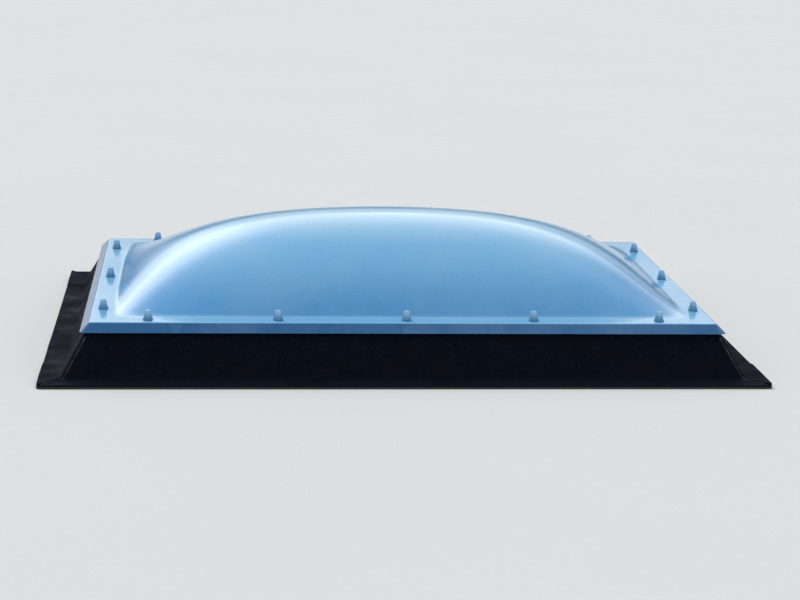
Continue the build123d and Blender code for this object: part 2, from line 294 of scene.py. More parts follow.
def buildSkinTree(name, skin):
    # two crowns of contour lines: the upper one is pulled out ring by ring and under, to meet the lower one,
    # and the sheet is drilled
    tree, given, result = startTree(name, {
        "Float": ("Half Length", "Half Width", "Crown", "Sink", "Top Plane", "Thickness", "Fillet Height",
                  "Fullness Along", "Fullness Across", "Spread", "Drop", "Corner", "Lip Corner", "Hole Radius"),
        "Vector": ("Flange Half Size",), "Int": ("Steps Around",), "Material": ("Material",)})
    known = addSteps(tree, sums, dict(given), [
        ("footLevel", "DIVIDE", "Sink", "Crown"),
        ("raised", "ADD", "Sink", "Fillet Height"),
        ("filletLevel", "DIVIDE", "raised", "Crown"),
        ("columns", "ADD", "Steps Around", 1.0),
        ("lowPlane", "SUBTRACT", "Top Plane", "Thickness"),
        ("start", "SUBTRACT", "Top Plane", "Sink"),
        ("lowStart", "SUBTRACT", "lowPlane", "Sink"),
    ])
    shape = {n: given[n] for n in ("Half Length", "Half Width", "Fullness Along", "Fullness Across")}
    domes = {}
    for side, rows, lowest, base in (
            ("top", skin["rows on top"], "filletLevel", "start"),
            ("inside", skin["rows inside"], "footLevel", "lowStart")):
        grid = addNode(tree, "GeometryNodeMeshGrid", None, {
            "Size X": 1.0, "Size Y": 1.0, "Vertices X": known["columns"], "Vertices Y": rows})
        place = addNode(tree, "GeometryNodeInputPosition").outputs[0]
        where = addNode(tree, "ShaderNodeSeparateXYZ", None, {0: place}).outputs
        spot = addSteps(tree, sums, {"gridX": where["X"], "gridY": where["Y"], **known}, [
            ("once", "ADD", "gridX", 0.5),
            ("down", "ADD", "gridY", 0.5),
            ("downSquared", "MULTIPLY", "down", "down"),
            ("range", "SUBTRACT", 1.0, lowest),
            ("fallen", "MULTIPLY", "downSquared", "range"),
            ("level", "SUBTRACT", 1.0, "fallen"),
            ("height", "MULTIPLY_ADD", "level", "Crown", base),
        ])
        marked = grid.outputs[0]
        for word, share in (("foot", "footLevel"), ("above", "filletLevel")):  # the rings further out need both
            line = addNode(tree, "GeometryNodeGroup", {"node_tree": contourTree}, {
                **shape, "Around": spot["once"], "Level": known[share]}).outputs[0]
            marked = addNode(tree, "GeometryNodeStoreNamedAttribute", vectorStore, {
                "Geometry": marked, "Name": word, "Value": line}).outputs[0]
        contour = addNode(tree, "GeometryNodeGroup", {"node_tree": contourTree}, {
            **shape, "Around": spot["once"], "Level": spot["level"]}).outputs[0]
        raised = addNode(tree, "ShaderNodeCombineXYZ", None, {"Z": spot["height"]}).outputs[0]
        lifted = addNode(tree, vectors, {"operation": "ADD"}, {0: contour, 1: raised}).outputs[0]
        shaped = addNode(tree, "GeometryNodeSetPosition", None, {
            "Geometry": marked, "Position": lifted}).outputs[0]
        domes[side] = addNode(tree, "GeometryNodeMergeByDistance", None, {
            "Geometry": shaped, "Distance": mergeGap}).outputs[0]
    foot, above = (
        addNode(tree, "GeometryNodeInputNamedAttribute", vectorRead, {"Name": word}).outputs[0]
        for word in ("foot", "above"))
    halves = addNode(tree, "ShaderNodeCombineXYZ", None, {
        "X": given["Half Length"], "Y": given["Half Width"], "Z": 1.0}).outputs[0]
    ways = addSteps(tree, vectors, {"foot": foot, "above": above, "halves": halves}, [
        ("outward", "SUBTRACT", "foot", "above"),
        ("toward", "DIVIDE", "foot", "halves"),
    ])
    rings = []  # a flat place and a height for each, from the crown's foot out to the lip and back under
    for share in skinShape["foot rings"]:
        ring = addSteps(tree, sums, dict(known), [
            ("height", "MULTIPLY_ADD", "Fillet Height", max(0.0, 1 - share) ** 2, "Top Plane")])
        ring = addSteps(tree, vectors, {**ring, **ways}, [
            ("step", "SCALE", "outward", 2 * share),
            ("flat", "ADD", "above", "step"),
        ])
        rings.append((ring["flat"], ring["height"]))
    for growth, drop, cornerShare in skin["rim"]:
        ring = addSteps(tree, sums, dict(known), [
            ("grown", "MULTIPLY", "Spread", growth),
            ("cornerGap", "SUBTRACT", "Lip Corner", "Corner"),
            ("ringCorner", "MULTIPLY_ADD", "cornerGap", cornerShare, "Corner"),
            ("lowered", "MULTIPLY", "Drop", drop),
            ("height", "SUBTRACT", "Top Plane", "lowered"),
        ])
        ring = addSteps(tree, vectors, ring, [("wider", "ADD", "Flange Half Size", "grown")])
        flat = addNode(tree, "GeometryNodeGroup", {"node_tree": outlineTree}, {
            "Toward": ways["toward"], "Half Size": ring["wider"], "Corner": ring["ringCorner"]}).outputs[0]
        rings.append((flat, ring["height"]))
    rings.append((foot, known["lowPlane"]))
    sheet = domes["top"]
    for flat, height in rings:
        beside = addNode(tree, "GeometryNodeInputMeshEdgeNeighbors").outputs[0]
        openEdge = addNode(tree, "FunctionNodeCompare", {"data_type": "INT", "operation": "EQUAL"}, {
            2: beside, 3: 1}).outputs[0]  # an edge with one face
        pulled = addNode(tree, "GeometryNodeExtrudeMesh", {"mode": "EDGES"}, {
            "Mesh": sheet, "Selection": openEdge, "Offset Scale": 0.0}).outputs
        lift = addNode(tree, "ShaderNodeCombineXYZ", None, {"Z": height}).outputs[0]
        place = addNode(tree, vectors, {"operation": "ADD"}, {0: flat, 1: lift}).outputs[0]
        sheet = addNode(tree, "GeometryNodeSetPosition", None, {
            "Geometry": pulled["Mesh"], "Selection": pulled["Top"], "Position": place}).outputs[0]
    joined = addNode(tree, "GeometryNodeJoinGeometry")
    turned = addNode(tree, "GeometryNodeFlipFaces", None, {"Mesh": domes["inside"]}).outputs[0]
    for part in (sheet, turned):  # the turned one faces the room below
        tree.links.new(part, joined.inputs[0])
    closed = addNode(tree, "GeometryNodeMergeByDistance", None, {
        "Geometry": joined.outputs[0], "Distance": mergeGap}).outputs[0]
    drill = addNode(tree, "GeometryNodeMeshCylinder", None, {
        "Vertices": fixings["hole sides"], "Radius": given["Hole Radius"],
        "Depth": fixings["drill length"] * mm}).outputs[0]
    drills = addNode(tree, "GeometryNodeInstanceOnPoints", None, {
        "Points": spotsNode(tree, known["lowPlane"]), "Instance": drill}).outputs[0]
    drills = addNode(tree, "GeometryNodeRealizeInstances", None, {0: drills}).outputs[0]
    drilled = addNode(tree, "GeometryNodeMeshBoolean", {"operation": "DIFFERENCE", "solver": "MANIFOLD"}, {
        0: closed, 1: drills}).outputs[0]
    endTree(tree, drilled, given["Material"], result)
    return tree


def makeSkin(name, skin, material):
    # the crown starts a little below the flange, so that its corners come out round
    crown = skin["rise"] + skinShape["corner sink"]
    sinkLevel = skinShape["corner sink"] / crown
    piece = grow(name, buildSkinTree(name, skin), {
        "Half Length": skin["length"] / 2 / crownReach(skinShape["fullness along"], sinkLevel) * mm,
        "Half Width": skin["width"] / 2 / crownReach(skinShape["fullness across"], sinkLevel) * mm,
        "Crown": crown * mm, "Sink": skinShape["corner sink"] * mm,
        "Top Plane": skin["top"] * mm, "Thickness": skin["thickness"] * mm,
        "Fillet Height": skin["fillet height"] * mm,
        "Fullness Along": skinShape["fullness along"], "Fullness Across": skinShape["fullness across"],
        "Flange Half Size": (skin["half length"] * mm, skin["half breadth"] * mm, 1.0),
        "Spread": skin["spread"] * mm, "Drop": skin["drop"] * mm,
        "Corner": skin["corner"] * mm, "Lip Corner": skin["lip corner"] * mm,
        "Steps Around": 4 * skinShape["steps per quarter"], "Hole Radius": skin["hole"] / 2 * mm,
        "Material": material,
    })
    closeUp(piece, skinShape["sharp"])
    return piece


def startMaterial(name):
    # a bare material: its tree, the surface shader, and Object coordinates in metres
    material = bpy.data.materials.new(name)
    material.use_nodes = True
    tree = material.node_tree
    tree.nodes.clear()
    surface = addNode(tree, "ShaderNodeBsdfPrincipled")
    addNode(tree, "ShaderNodeOutputMaterial", None, {"Surface": surface.outputs[0]})
    spot = addNode(tree, "ShaderNodeTexCoord").outputs["Object"]
    return material, tree, surface, spot


def makeAcrylic(name, look):
    # cast acrylic sheet blown hot: a mirror-smooth skin over milky colour, with slow waves from the blowing
    material, tree, surface, spot = startMaterial(name)
    height = addNode(tree, "ShaderNodeSeparateXYZ", None, {0: spot}).outputs["Z"]
    body = hexColour(look["tones"][0][1])
    # in the ice-blue skin these tones are painted shade and painted light: a dark skirt, a pale flange top and a
    # paler crown
    for lowest, tone, over in look["tones"][1:]:  # each tone takes over above its height
        drawn = addNode(tree, "ShaderNodeMapRange", smoothStep, {
            "Value": height, "From Min": lowest * mm, "From Max": (lowest + over) * mm}).outputs[0]
        body = addNode(tree, "ShaderNodeMix", colourMix, {0: drawn, 6: body, 7: hexColour(tone)}).outputs[2]
    cloud = addNode(tree, "ShaderNodeTexNoise", None, {
        "Vector": spot, "Scale": 1 / (look["cloud width"] * mm), "Detail": 3.0, "Roughness": 0.55}).outputs[0]
    film = addNode(tree, "ShaderNodeMapRange", None, {
        "Value": cloud, "From Min": 0.42, "From Max": 0.72, "To Max": look["film"]}).outputs[0]
    grime = addNode(tree, "ShaderNodeMix", colourMix, {
        0: film, 6: body, 7: hexColour(look["dust"])}).outputs[2]
    stretched = addNode(tree, "ShaderNodeMapping", None, {"Vector": spot, "Scale": look["trail stretch"]})
    trail = addNode(tree, "ShaderNodeTexNoise", None, {
        "Vector": stretched.outputs[0], "Scale": 1 / (look["trail width"] * mm),
        "Detail": 4.0, "Roughness": 0.6}).outputs[0]
    washed = addNode(tree, "ShaderNodeMapRange", None, {
        "Value": trail, "From Min": 0.5, "From Max": 0.75, "To Max": 0.5 * look["film"]}).outputs[0]
    colour = addNode(tree, "ShaderNodeMix", colourMix, {
        0: washed, 6: grime, 7: hexColour(look["dust"])}).outputs[2]
    drops = addNode(tree, "ShaderNodeTexVoronoi", {"feature": "F1"}, {
        "Vector": spot, "Scale": 1 / (look["drop pitch"] * mm), "Randomness": 1.0}).outputs
    bead = addNode(tree, "ShaderNodeMapRange", smoothStep, {
        "Value": drops["Distance"], "From Min": 0.08, "From Max": 0.42, "To Min": 1.0, "To Max": 0.0}).outputs[0]
    lying = addNode(tree, "ShaderNodeMapRange", None, {
        "Value": height, "From Min": look["drops above"][0] * mm, "From Max": look["drops above"][1] * mm})
    bead = addNode(tree, sums, {"operation": "MULTIPLY"}, {0: bead, 1: lying.outputs[0]}).outputs[0]
    pick = addNode(tree, "ShaderNodeSeparateColor", None, {0: drops["Color"]}).outputs[0]
    stain = addNode(tree, "ShaderNodeMapRange", None, {
        "Value": pick, "From Min": 0.2, "To Min": -look["speck"], "To Max": look["speck"]}).outputs[0]
    lighten = addNode(tree, sums, {"operation": "MULTIPLY_ADD"}, {
        0: stain, 1: bead, 2: 1.0}).outputs[0]  # some drops dry pale, some dark
    colour = addNode(tree, vectors, {"operation": "SCALE"}, {0: colour, "Scale": lighten}).outputs[0]
    dull = addNode(tree, "ShaderNodeMapRange", None, {
        "Value": cloud, "From Min": 0.35, "From Max": 0.75,
        "To Min": look["roughness"], "To Max": look["roughness"] + look["duller by"]}).outputs[0]
    wave = addNode(tree, "ShaderNodeTexNoise", None, {
        "Vector": spot, "Scale": 1 / (look["wave length"] * mm), "Detail": 1.0}).outputs[0]
    slow = addNode(tree, "ShaderNodeBump", None, {
        "Height": wave, "Strength": 1.0, "Distance": look["wave height"] * mm}).outputs[0]
    fine = addNode(tree, "ShaderNodeBump", None, {
        "Height": bead, "Strength": look["drop strength"], "Distance": look["drop height"] * mm,
        "Normal": slow}).outputs[0]
    fillInputs(tree, surface, {
        "Base Color": colour, "Roughness": dull, "Normal": fine, "IOR": 1.49,
        "Subsurface Weight": look["milkiness"], "Subsurface Radius": look["scatter"],
        "Subsurface Scale": look["scatter scale"] * mm})
    return material


opalSkinLook = {
    # height, tone, and how far the change takes, as painted shade and light: the skirt is painted dark where the
    # dark felt behind it lets no light through, the flange top pale as painted light from above, and the crown
    # paler, partly painted light and partly the sheet drawn thin
    "tones": [(0.0, "#26689f", 0.0), (147.0, "#7abcee", 2.5), (151.0, "#5ba6e4", 6.0),
              (170.0, "#78bdf4", 130.0), (300.0, "#92cbf7", 50.0)],
    "dust": "#a3c8e4", "cloud width": 260.0, "film": 0.18,
    "trail width": 60.0, "trail stretch": (1.0, 0.35, 0.35),  # drawn out down the long slopes
    "roughness": 0.08, "duller by": 0.12, "wave length": 240.0, "wave height": 0.6,
    "drop pitch": 9.0, "drop height": 0.4, "drop strength": 0.16, "speck": 0.14,
    "drops above": (148.0, 151.0),  # none stay on the steep skirt
    "milkiness": 0.35, "scatter": (0.6, 0.8, 1.0), "scatter scale": 12.0,
}
innerSkinLook = {
    "tones": [(0.0, "#dfe7ee", 0.0), (150.0, "#eef3f7", 120.0)],
    "dust": "#cdd3d6", "cloud width": 300.0, "film": 0.10,
    "trail width": 90.0, "trail stretch": (1.0, 0.35, 0.35),
    "roughness": 0.22, "duller by": 0.12, "wave length": 260.0, "wave height": 0.5,
    "drop pitch": 14.0, "drop height": 0.1, "drop strength": 0.05, "speck": 0.03,
    "drops above": (148.0, 151.0),
    "milkiness": 0.3, "scatter": (0.9, 0.95, 1.0), "scatter scale": 10.0,
}
opalSkin = makeAcrylic("castAcrylicIceBlue", opalSkinLook)
opalInner = makeAcrylic("castAcrylicOpalWhite", innerSkinLook)


def makeGritFelt(name, look):
    # torched bitumen felt: mineral grit pressed in tar, so it drinks light and only sparkles faintly
    material, tree, surface, spot = startMaterial(name)
    grains = addNode(tree, "ShaderNodeTexVoronoi", {"feature": "F1"}, {
        "Vector": spot, "Scale": 1 / (look["grit"] * mm), "Randomness": 1.0}).outputs
    shade = addNode(tree, "ShaderNodeSeparateColor", None, {0: grains["Color"]}).outputs[0]
    grain = addNode(tree, "ShaderNodeMix", colourMix, {
        0: shade, 6: hexColour(look["dark grit"]), 7: hexColour(look["light grit"])}).outputs[2]
    patch = addNode(tree, "ShaderNodeTexNoise", None, {
        "Vector": spot, "Scale": 1 / (look["patch width"] * mm), "Detail": 5.0, "Roughness": 0.6}).outputs[0]
    tarred = addNode(tree, "ShaderNodeMapRange", None, {
        "Value": patch, "From Min": 0.46, "From Max": 0.66}).outputs[0]
    colour = addNode(tree, "ShaderNodeMix", colourMix, {
        0: tarred, 6: grain, 7: hexColour(look["tar"])}).outputs[2]
    height = addNode(tree, "ShaderNodeSeparateXYZ", None, {0: spot}).outputs["Z"]
    low = addNode(tree, "ShaderNodeMapRange", smoothStep, {
        "Value": height, "From Min": 0.0, "From Max": look["splash height"] * mm,
        "To Min": look["splash"], "To Max": 0.0}).outputs[0]
    muddy = addNode(tree, sums, {"operation": "MULTIPLY"}, {0: low, 1: patch}).outputs[0]
    splashed = addNode(tree, "ShaderNodeMix", colourMix, {
        0: muddy, 6: colour, 7: hexColour(look["mud"])}).outputs[2]
    gloss = addNode(tree, "ShaderNodeMapRange", None, {
        "Value": patch, "From Min": 0.4, "From Max": 0.7, "To Min": 0.92, "To Max": 0.62}).outputs[0]
    rough = addNode(tree, "ShaderNodeBump", None, {
        "Height": grains["Distance"], "Strength": 0.55, "Distance": look["grit height"] * mm}).outputs[0]
    slow = addNode(tree, "ShaderNodeBump", None, {
        "Height": patch, "Strength": 0.6, "Distance": look["patch height"] * mm, "Normal": rough}).outputs[0]
    fillInputs(tree, surface, {
        "Base Color": splashed, "Roughness": gloss, "Normal": slow, "Specular IOR Level": look["shine"]})
    return material


# slate grit is 1 to 2 mm; drawn at 4 mm, because finer grains don't show at this distance
feltLook = {
    "grit": 4.0, "grit height": 0.9, "dark grit": "#03070f", "light grit": "#0e1828", "tar": "#02060d",
    "patch width": 90.0, "patch height": 2.0, "mud": "#131b26", "splash": 0.4, "splash height": 60.0,
    "shine": 0.07,  # the grains shade one another
}
gritFelt = makeGritFelt("torchedBitumenFelt", feltLook)


def makeBitumen(name, look):
    # squeezed-out bitumen: smooth, black, half glossy, softly lumpy
    material, tree, surface, spot = startMaterial(name)
    lumps = addNode(tree, "ShaderNodeTexNoise", None, {
        "Vector": spot, "Scale": 1 / (look["lump"] * mm), "Detail": 2.0}).outputs[0]
    colour = addNode(tree, "ShaderNodeMix", colourMix, {
        0: lumps, 6: hexColour(look["dark"]), 7: hexColour(look["light"])}).outputs[2]
    gloss = addNode(tree, "ShaderNodeMapRange", None, {
        "Value": lumps, "To Min": 0.25, "To Max": 0.55}).outputs[0]
    bump = addNode(tree, "ShaderNodeBump", None, {
        "Height": lumps, "Strength": 0.6, "Distance": look["lump height"] * mm}).outputs[0]
    fillInputs(tree, surface, {"Base Color": colour, "Roughness": gloss, "Normal": bump})
    return material


bitumenLook = {"dark": "#05080c", "light": "#141a22", "lump": 12.0, "lump height": 1.0}
bitumen = makeBitumen("squeezedBitumen", bitumenLook)


def makeLaminate(name, look):
    # polyester and glass moulding: gelcoat with strands showing through, tarred outside for the felt
    material, tree, surface, spot = startMaterial(name)
    strands = addNode(tree, "ShaderNodeTexNoise", None, {
        "Vector": spot, "Scale": 1 / (look["strand length"] * mm),
        "Detail": 6.0, "Roughness": 0.75, "Distortion": 2.5}).outputs[0]
    haze = addNode(tree, "ShaderNodeMapRange", None, {
        "Value": strands, "From Min": 0.4, "From Max": 0.62}).outputs[0]
    gel = addNode(tree, "ShaderNodeMix", colourMix, {
        0: haze, 6: hexColour(look["gelcoat"]), 7: hexColour(look["strand"])}).outputs[2]
    size = addNode(tree, vectors, {"operation": "ABSOLUTE"}, {0: spot}).outputs[0]
    outside = addNode(tree, vectors, {"operation": "SUBTRACT"}, {
        0: size, 1: (look["primer from x"] * mm, look["primer from y"] * mm, 0.0)}).outputs[0]
    split = addNode(tree, "ShaderNodeSeparateXYZ", None, {0: outside}).outputs
    farther = addNode(tree, sums, {"operation": "MAXIMUM"}, {0: split["X"], 1: split["Y"]}).outputs[0]
    ragged = addNode(tree, sums, {"operation": "MULTIPLY_ADD"}, {
        0: strands, 1: look["brush swing"] * mm, 2: farther}).outputs[0]
    primed = addNode(tree, "ShaderNodeMapRange", None, {
        "Value": ragged, "From Min": look["primer edge"][0] * mm, "From Max": look["primer edge"][1] * mm})
    colour = addNode(tree, "ShaderNodeMix", colourMix, {
        0: primed.outputs[0], 6: gel, 7: hexColour(look["primer"])}).outputs[2]
    gloss = addNode(tree, "ShaderNodeMapRange", None, {
        "Value": strands, "To Min": 0.28, "To Max": 0.5}).outputs[0]
    bump = addNode(tree, "ShaderNodeBump", None, {
        "Height": strands, "Strength": 0.35, "Distance": look["strand height"] * mm}).outputs[0]
    fillInputs(tree, surface, {"Base Color": colour, "Roughness": gloss, "Normal": bump, "IOR": 1.54})
    return material


laminateLook = {
    "gelcoat": "#d9dad4", "strand": "#c3c5bd", "strand length": 28.0, "strand height": 0.5,
    "primer": "#0d1218", "primer from x": 962.0, "primer from y": 662.0,
    "primer edge": (5.0, 8.0), "brush swing": 12.0,
}
laminate = makeLaminate("glassFibreLaminate", laminateLook)


def makeFoam(name, look):
    # closed-cell strip: matt, with small pores in the cut face
    material, tree, surface, spot = startMaterial(name)
    cells = addNode(tree, "ShaderNodeTexVoronoi", {"feature": "F1"}, {
        "Vector": spot, "Scale": 1 / (look["cell"] * mm)}).outputs["Distance"]
    walls = addNode(tree, "ShaderNodeMapRange", None, {
        "Value": cells, "From Min": 0.1, "From Max": 0.45}).outputs[0]
    colour = addNode(tree, "ShaderNodeMix", colourMix, {
        0: walls, 6: hexColour(look["pore"]), 7: hexColour(look["body"])}).outputs[2]
    gloss = addNode(tree, "ShaderNodeMapRange", None, {
        "Value": cells, "To Min": 0.95, "To Max": 0.75}).outputs[0]
    bump = addNode(tree, "ShaderNodeBump", None, {
        "Height": cells, "Strength": 0.5, "Distance": look["pore depth"] * mm}).outputs[0]
    fillInputs(tree, surface, {"Base Color": colour, "Roughness": gloss, "Normal": bump})
    return material


sealLook = {"cell": 1.6, "body": "#17191b", "pore": "#0a0b0c", "pore depth": 0.4}
tapeLook = {"cell": 1.2, "body": "#26282b", "pore": "#131416", "pore depth": 0.4}
sealRubber = makeFoam("cellularRubberSeal", sealLook)
foamTape = makeFoam("foamSpacerTape", tapeLook)


def makeMouldedCap(name, look):
    # injection-moulded polyethylene: soft satin, faint flow marks; the pale plastic is painted dark blue as
    # painted shade, and paler on top as painted highlight, partly sun fading
    material, tree, surface, spot = startMaterial(name)
    flow = addNode(tree, "ShaderNodeTexNoise", None, {
        "Vector": spot, "Scale": 1 / (look["flow width"] * mm), "Detail": 4.0, "Distortion": 1.0}).outputs[0]
    body = addNode(tree, "ShaderNodeMix", colourMix, {
        0: flow, 6: hexColour(look["body"]), 7: hexColour(look["flow"])}).outputs[2]
    height = addNode(tree, "ShaderNodeSeparateXYZ", None, {0: spot}).outputs["Z"]
    # painted highlight: the colour turns pale towards the top, as if lit from above, partly sun fading
    top = addNode(tree, "ShaderNodeMapRange", smoothStep, {
        "Value": height, "From Min": look["fade and highlight from"] * mm, "From Max": look["fade and highlight full"] * mm,
        "To Max": look["fade and highlight share"]}).outputs[0]
    colour = addNode(tree, "ShaderNodeMix", colourMix, {
        0: top, 6: body, 7: hexColour(look["fade and highlight"])}).outputs[2]
    gloss = addNode(tree, "ShaderNodeMapRange", None, {"Value": flow, "To Min": 0.3, "To Max": 0.5}).outputs[0]
    grain = addNode(tree, "ShaderNodeTexNoise", None, {
        "Vector": spot, "Scale": 1 / (look["grain"] * mm), "Detail": 1.0}).outputs[0]
    bump = addNode(tree, "ShaderNodeBump", None, {
        "Height": grain, "Strength": 0.15, "Distance": look["grain height"] * mm}).outputs[0]
    fillInputs(tree, surface, {"Base Color": colour, "Roughness": gloss, "Normal": bump, "IOR": 1.51})
    return material


# the body and flow tones are painted shade, and the pale tone on top is painted highlight
capLook = {
    "body": "#4686b1", "flow": "#5493bd", "flow width": 14.0, "grain": 0.8, "grain height": 0.1,
    "fade and highlight": "#9fcdee", "fade and highlight from": 155.0, "fade and highlight full": 172.0, "fade and highlight share": 0.8,
}
capPlastic = makeMouldedCap("mouldedCapPlastic", capLook)


def makeZinc(name, look):
    # zinc-plated steel: bright grey with passivation clouds and turning marks round each screw
    material, tree, surface, spot = startMaterial(name)
    clouds = addNode(tree, "ShaderNodeTexNoise", None, {
        "Vector": spot, "Scale": 1 / (look["cloud"] * mm), "Detail": 3.0}).outputs[0]
    colour = addNode(tree, "ShaderNodeMix", colourMix, {
        0: clouds, 6: hexColour(look["zinc"]), 7: hexColour(look["tint"])}).outputs[2]
    gloss = addNode(tree, "ShaderNodeMapRange", None, {
        "Value": clouds, "To Min": 0.25, "To Max": 0.45}).outputs[0]
    marks = addNode(tree, "ShaderNodeTexWave", {"bands_direction": "Z"}, {
        "Vector": spot, "Scale": 1 / (look["mark"] * mm) / 20,  # the wave turns 20 radians in a unit
        "Distortion": 1.0}).outputs[1]
    bump = addNode(tree, "ShaderNodeBump", None, {
        "Height": marks, "Strength": 0.3, "Distance": look["mark height"] * mm}).outputs[0]
    fillInputs(tree, surface, {
        "Base Color": colour, "Roughness": gloss, "Normal": bump, "Metallic": 1.0})
    return material


# a mark is about a sixth of the space between two turning marks
screwLook = {"zinc": "#c9ccd0", "tint": "#b4bdb0", "cloud": 3.0, "mark": 0.8, "mark height": 0.1}
washerLook = {"zinc": "#b9bcc0", "tint": "#a3a8a6", "cloud": 4.0, "mark": 0.6, "mark height": 0.1}
screwZinc = makeZinc("zincPlatedScrew", screwLook)
washerZinc = makeZinc("zincPlatedWasher", washerLook)
print("materials made:", len(bpy.data.materials))


outerDome = makeSkin("outer_dome_sheet", outerSkin, opalSkin)
innerDome = makeSkin("inner_dome_sheet", innerSkin, opalInner)
for piece, node, finish in (
        (outerDome, "outer_dome", "outer_acrylic"), (innerDome, "inner_dome", "inner_acrylic")):
    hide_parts(node)
    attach(piece, "root")
print("skins blown:", len(outerDome.data.polygons), "and", len(innerDome.data.polygons), "faces")


# a tall moulded cap over each screw
capShape = {
    "seat": 150.0, "segments": 32, "turn seed": 4, "sharp": 50.0,
    # radius and height of each ring, from the mouth out and over the top, then up the inside
    "outside": [(9.8, 0.0), (13.3, 0.0), (13.6, 0.3), (13.6, 3.7), (13.3, 4.25), (12.1, 5.45), (11.65, 6.2),
                (11.2, 8.0), (8.3, 23.4), (8.0, 24.4), (7.5, 25.35), (6.3, 26.45), (5.0, 26.9), (3.6, 27.0),
                (2.2, 27.0), (1.9, 26.7), (0.0, 26.7)],
    "inside": [(9.8, 0.0), (9.8, 3.0), (5.9, 24.8), (5.5, 25.1), (0.0, 25.2)],
}


def buildCapTree(shape):
    # one circle pulled up ring by ring, outside and inside, and set on every spot with a chance turn
    tree, given, result = startTree("screwCaps", {
        "Float": ("Seat",), "Int": ("Segments", "Seed"), "Material": ("Material",)})
    circle = addNode(tree, "GeometryNodeMeshCircle", None, {"Vertices": given["Segments"], "Radius": 1.0})
    spoke = addNode(tree, "GeometryNodeInputPosition").outputs[0]
    marked = addNode(tree, "GeometryNodeStoreNamedAttribute", vectorStore, {
        "Geometry": circle.outputs[0], "Name": "spoke", "Value": spoke}).outputs[0]
    outward = addNode(tree, "GeometryNodeInputNamedAttribute", vectorRead, {"Name": "spoke"}).outputs[0]
    walls = addNode(tree, "GeometryNodeJoinGeometry")
    for side in ("outside", "inside"):
        wall, rim = marked, None
        for radius, height in shape[side]:
            if rim is None:
                rim = addNode(tree, "FunctionNodeInputBool", {"boolean": True}).outputs[0]
            else:
                pulled = addNode(tree, "GeometryNodeExtrudeMesh", {"mode": "EDGES"}, {
                    "Mesh": wall, "Selection": rim, "Offset Scale": 0.0}).outputs
                wall, rim = pulled["Mesh"], pulled["Top"]
            ring = addSteps(tree, vectors, {"outward": outward}, [
                ("out", "SCALE", "outward", radius * mm),
                ("place", "ADD", "out", (0.0, 0.0, height * mm)),
            ])
            wall = addNode(tree, "GeometryNodeSetPosition", None, {
                "Geometry": wall, "Selection": rim, "Position": ring["place"]}).outputs[0]
        tree.links.new(wall, walls.inputs[0])
    cap = addNode(tree, "GeometryNodeMergeByDistance", None, {
        "Geometry": walls.outputs[0], "Distance": mergeGap}).outputs[0]
    spin = addNode(tree, "FunctionNodeRandomValue", {"data_type": "FLOAT_VECTOR"}, {
        0: (0.0, 0.0, 0.0), 1: (0.0, 0.0, 2 * math.pi), "Seed": given["Seed"]}).outputs[0]
    placed = addNode(tree, "GeometryNodeInstanceOnPoints", None, {
        "Points": spotsNode(tree, given["Seat"]), "Instance": cap, "Rotation": spin}).outputs[0]
    endTree(tree, placed, given["Material"], result)
    return tree


caps = grow("screw_caps", buildCapTree(capShape), {
    "Seat": capShape["seat"] * mm, "Segments": capShape["segments"], "Seed": capShape["turn seed"],
    "Material": capPlastic})
closeUp(caps, capShape["sharp"])
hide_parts(*[n for n in nodes if n.startswith("cap_")])
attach(caps, "root")
print("caps set:", len(caps.data.polygons), "faces")


# felt dressed up the kerb: out and up from the foot, lapped at the corners, pressed down by hand
feltShape = {
    "rim x": 856.0, "rim y": 556.0, "height": 136.0, "lean": 77.0, "foot": 137.0, "foot flange": 6.0,
    "cove": 10.0, "sheet": 4.0, "corner": 12.0, "return": 476.0, "step": 464.0, "slack": 0.2, "sharp": 40.0,
    "corner growth": 1.149,  # a leaning sheet takes this much more room level than it is thick
    "flat steps": 5, "cove steps": 6, "wall steps": 10,
    "corner steps": 8, "return steps": 8, "long steps": 72, "short steps": 96, "mitre steps": 5,
    # dents: their depth, how many to a metre, how much finer the small ones are and their share, and how
    # much of it all shows at the held edges
    "mould": 0.9, "dents": 9, "small dents": 4, "small share": 0.3, "edge share": 0.3,
    "wander": 2.5, "wanders": 6,  # how far the cut edge strays, and how often in a metre
}


def feltProfile(shape, lift):
    # (out from the rim, height) from the foot's edge up the wall, for a face that stands this far off the kerb
    slope = math.hypot(shape["lean"], shape["height"])
    grown = lift * slope / shape["height"]
    flatHeight = shape["foot flange"] + lift
    bend = shape["lean"] * (1 - flatHeight / shape["height"]) + grown
    upOut, upZ = -shape["lean"] / slope, shape["height"] / slope
    tangent = shape["cove"] / math.tan((math.pi - math.acos(-upOut)) / 2)
    flat = bend + tangent - shape["foot"]
    line = [(shape["foot"] + flat * k / shape["flat steps"], flatHeight) for k in range(shape["flat steps"])]
    cove = ((bend + tangent, flatHeight), (bend, flatHeight), (bend + upOut * tangent, flatHeight + upZ * tangent))
    for k in range(shape["cove steps"] + 1):
        t = k / shape["cove steps"]
        line.append(tuple((1 - t) ** 2 * a + 2 * t * (1 - t) * m + t * t * b for a, m, b in zip(*cove)))
    startOut, startZ = line[-1]
    for k in range(1, shape["wall steps"] + 1):
        t = k / shape["wall steps"]
        line.append((startOut + (grown - startOut) * t, startZ + (shape["height"] - startZ) * t))
    return line


def feltCorner(shape, index, sheets):
    # the corner's radius at a row of the profile, over this many sheets
    leaning = index >= shape["flat steps"]
    return shape["corner"] + (sheets * shape["sheet"] * shape["corner growth"] if leaning else 0.0)


def cornerPath(halfX, halfY, radius, steps, fromTurn, toTurn):
    # points round the corner at +x, -y, turning from the front (0) to the side (90)
    points = []
    for k in range(steps + 1):
        a = math.radians(fromTurn + (toTurn - fromTurn) * k / steps)
        points.append((halfX - radius + radius * math.sin(a), -(halfY - radius) - radius * math.cos(a)))
    return points


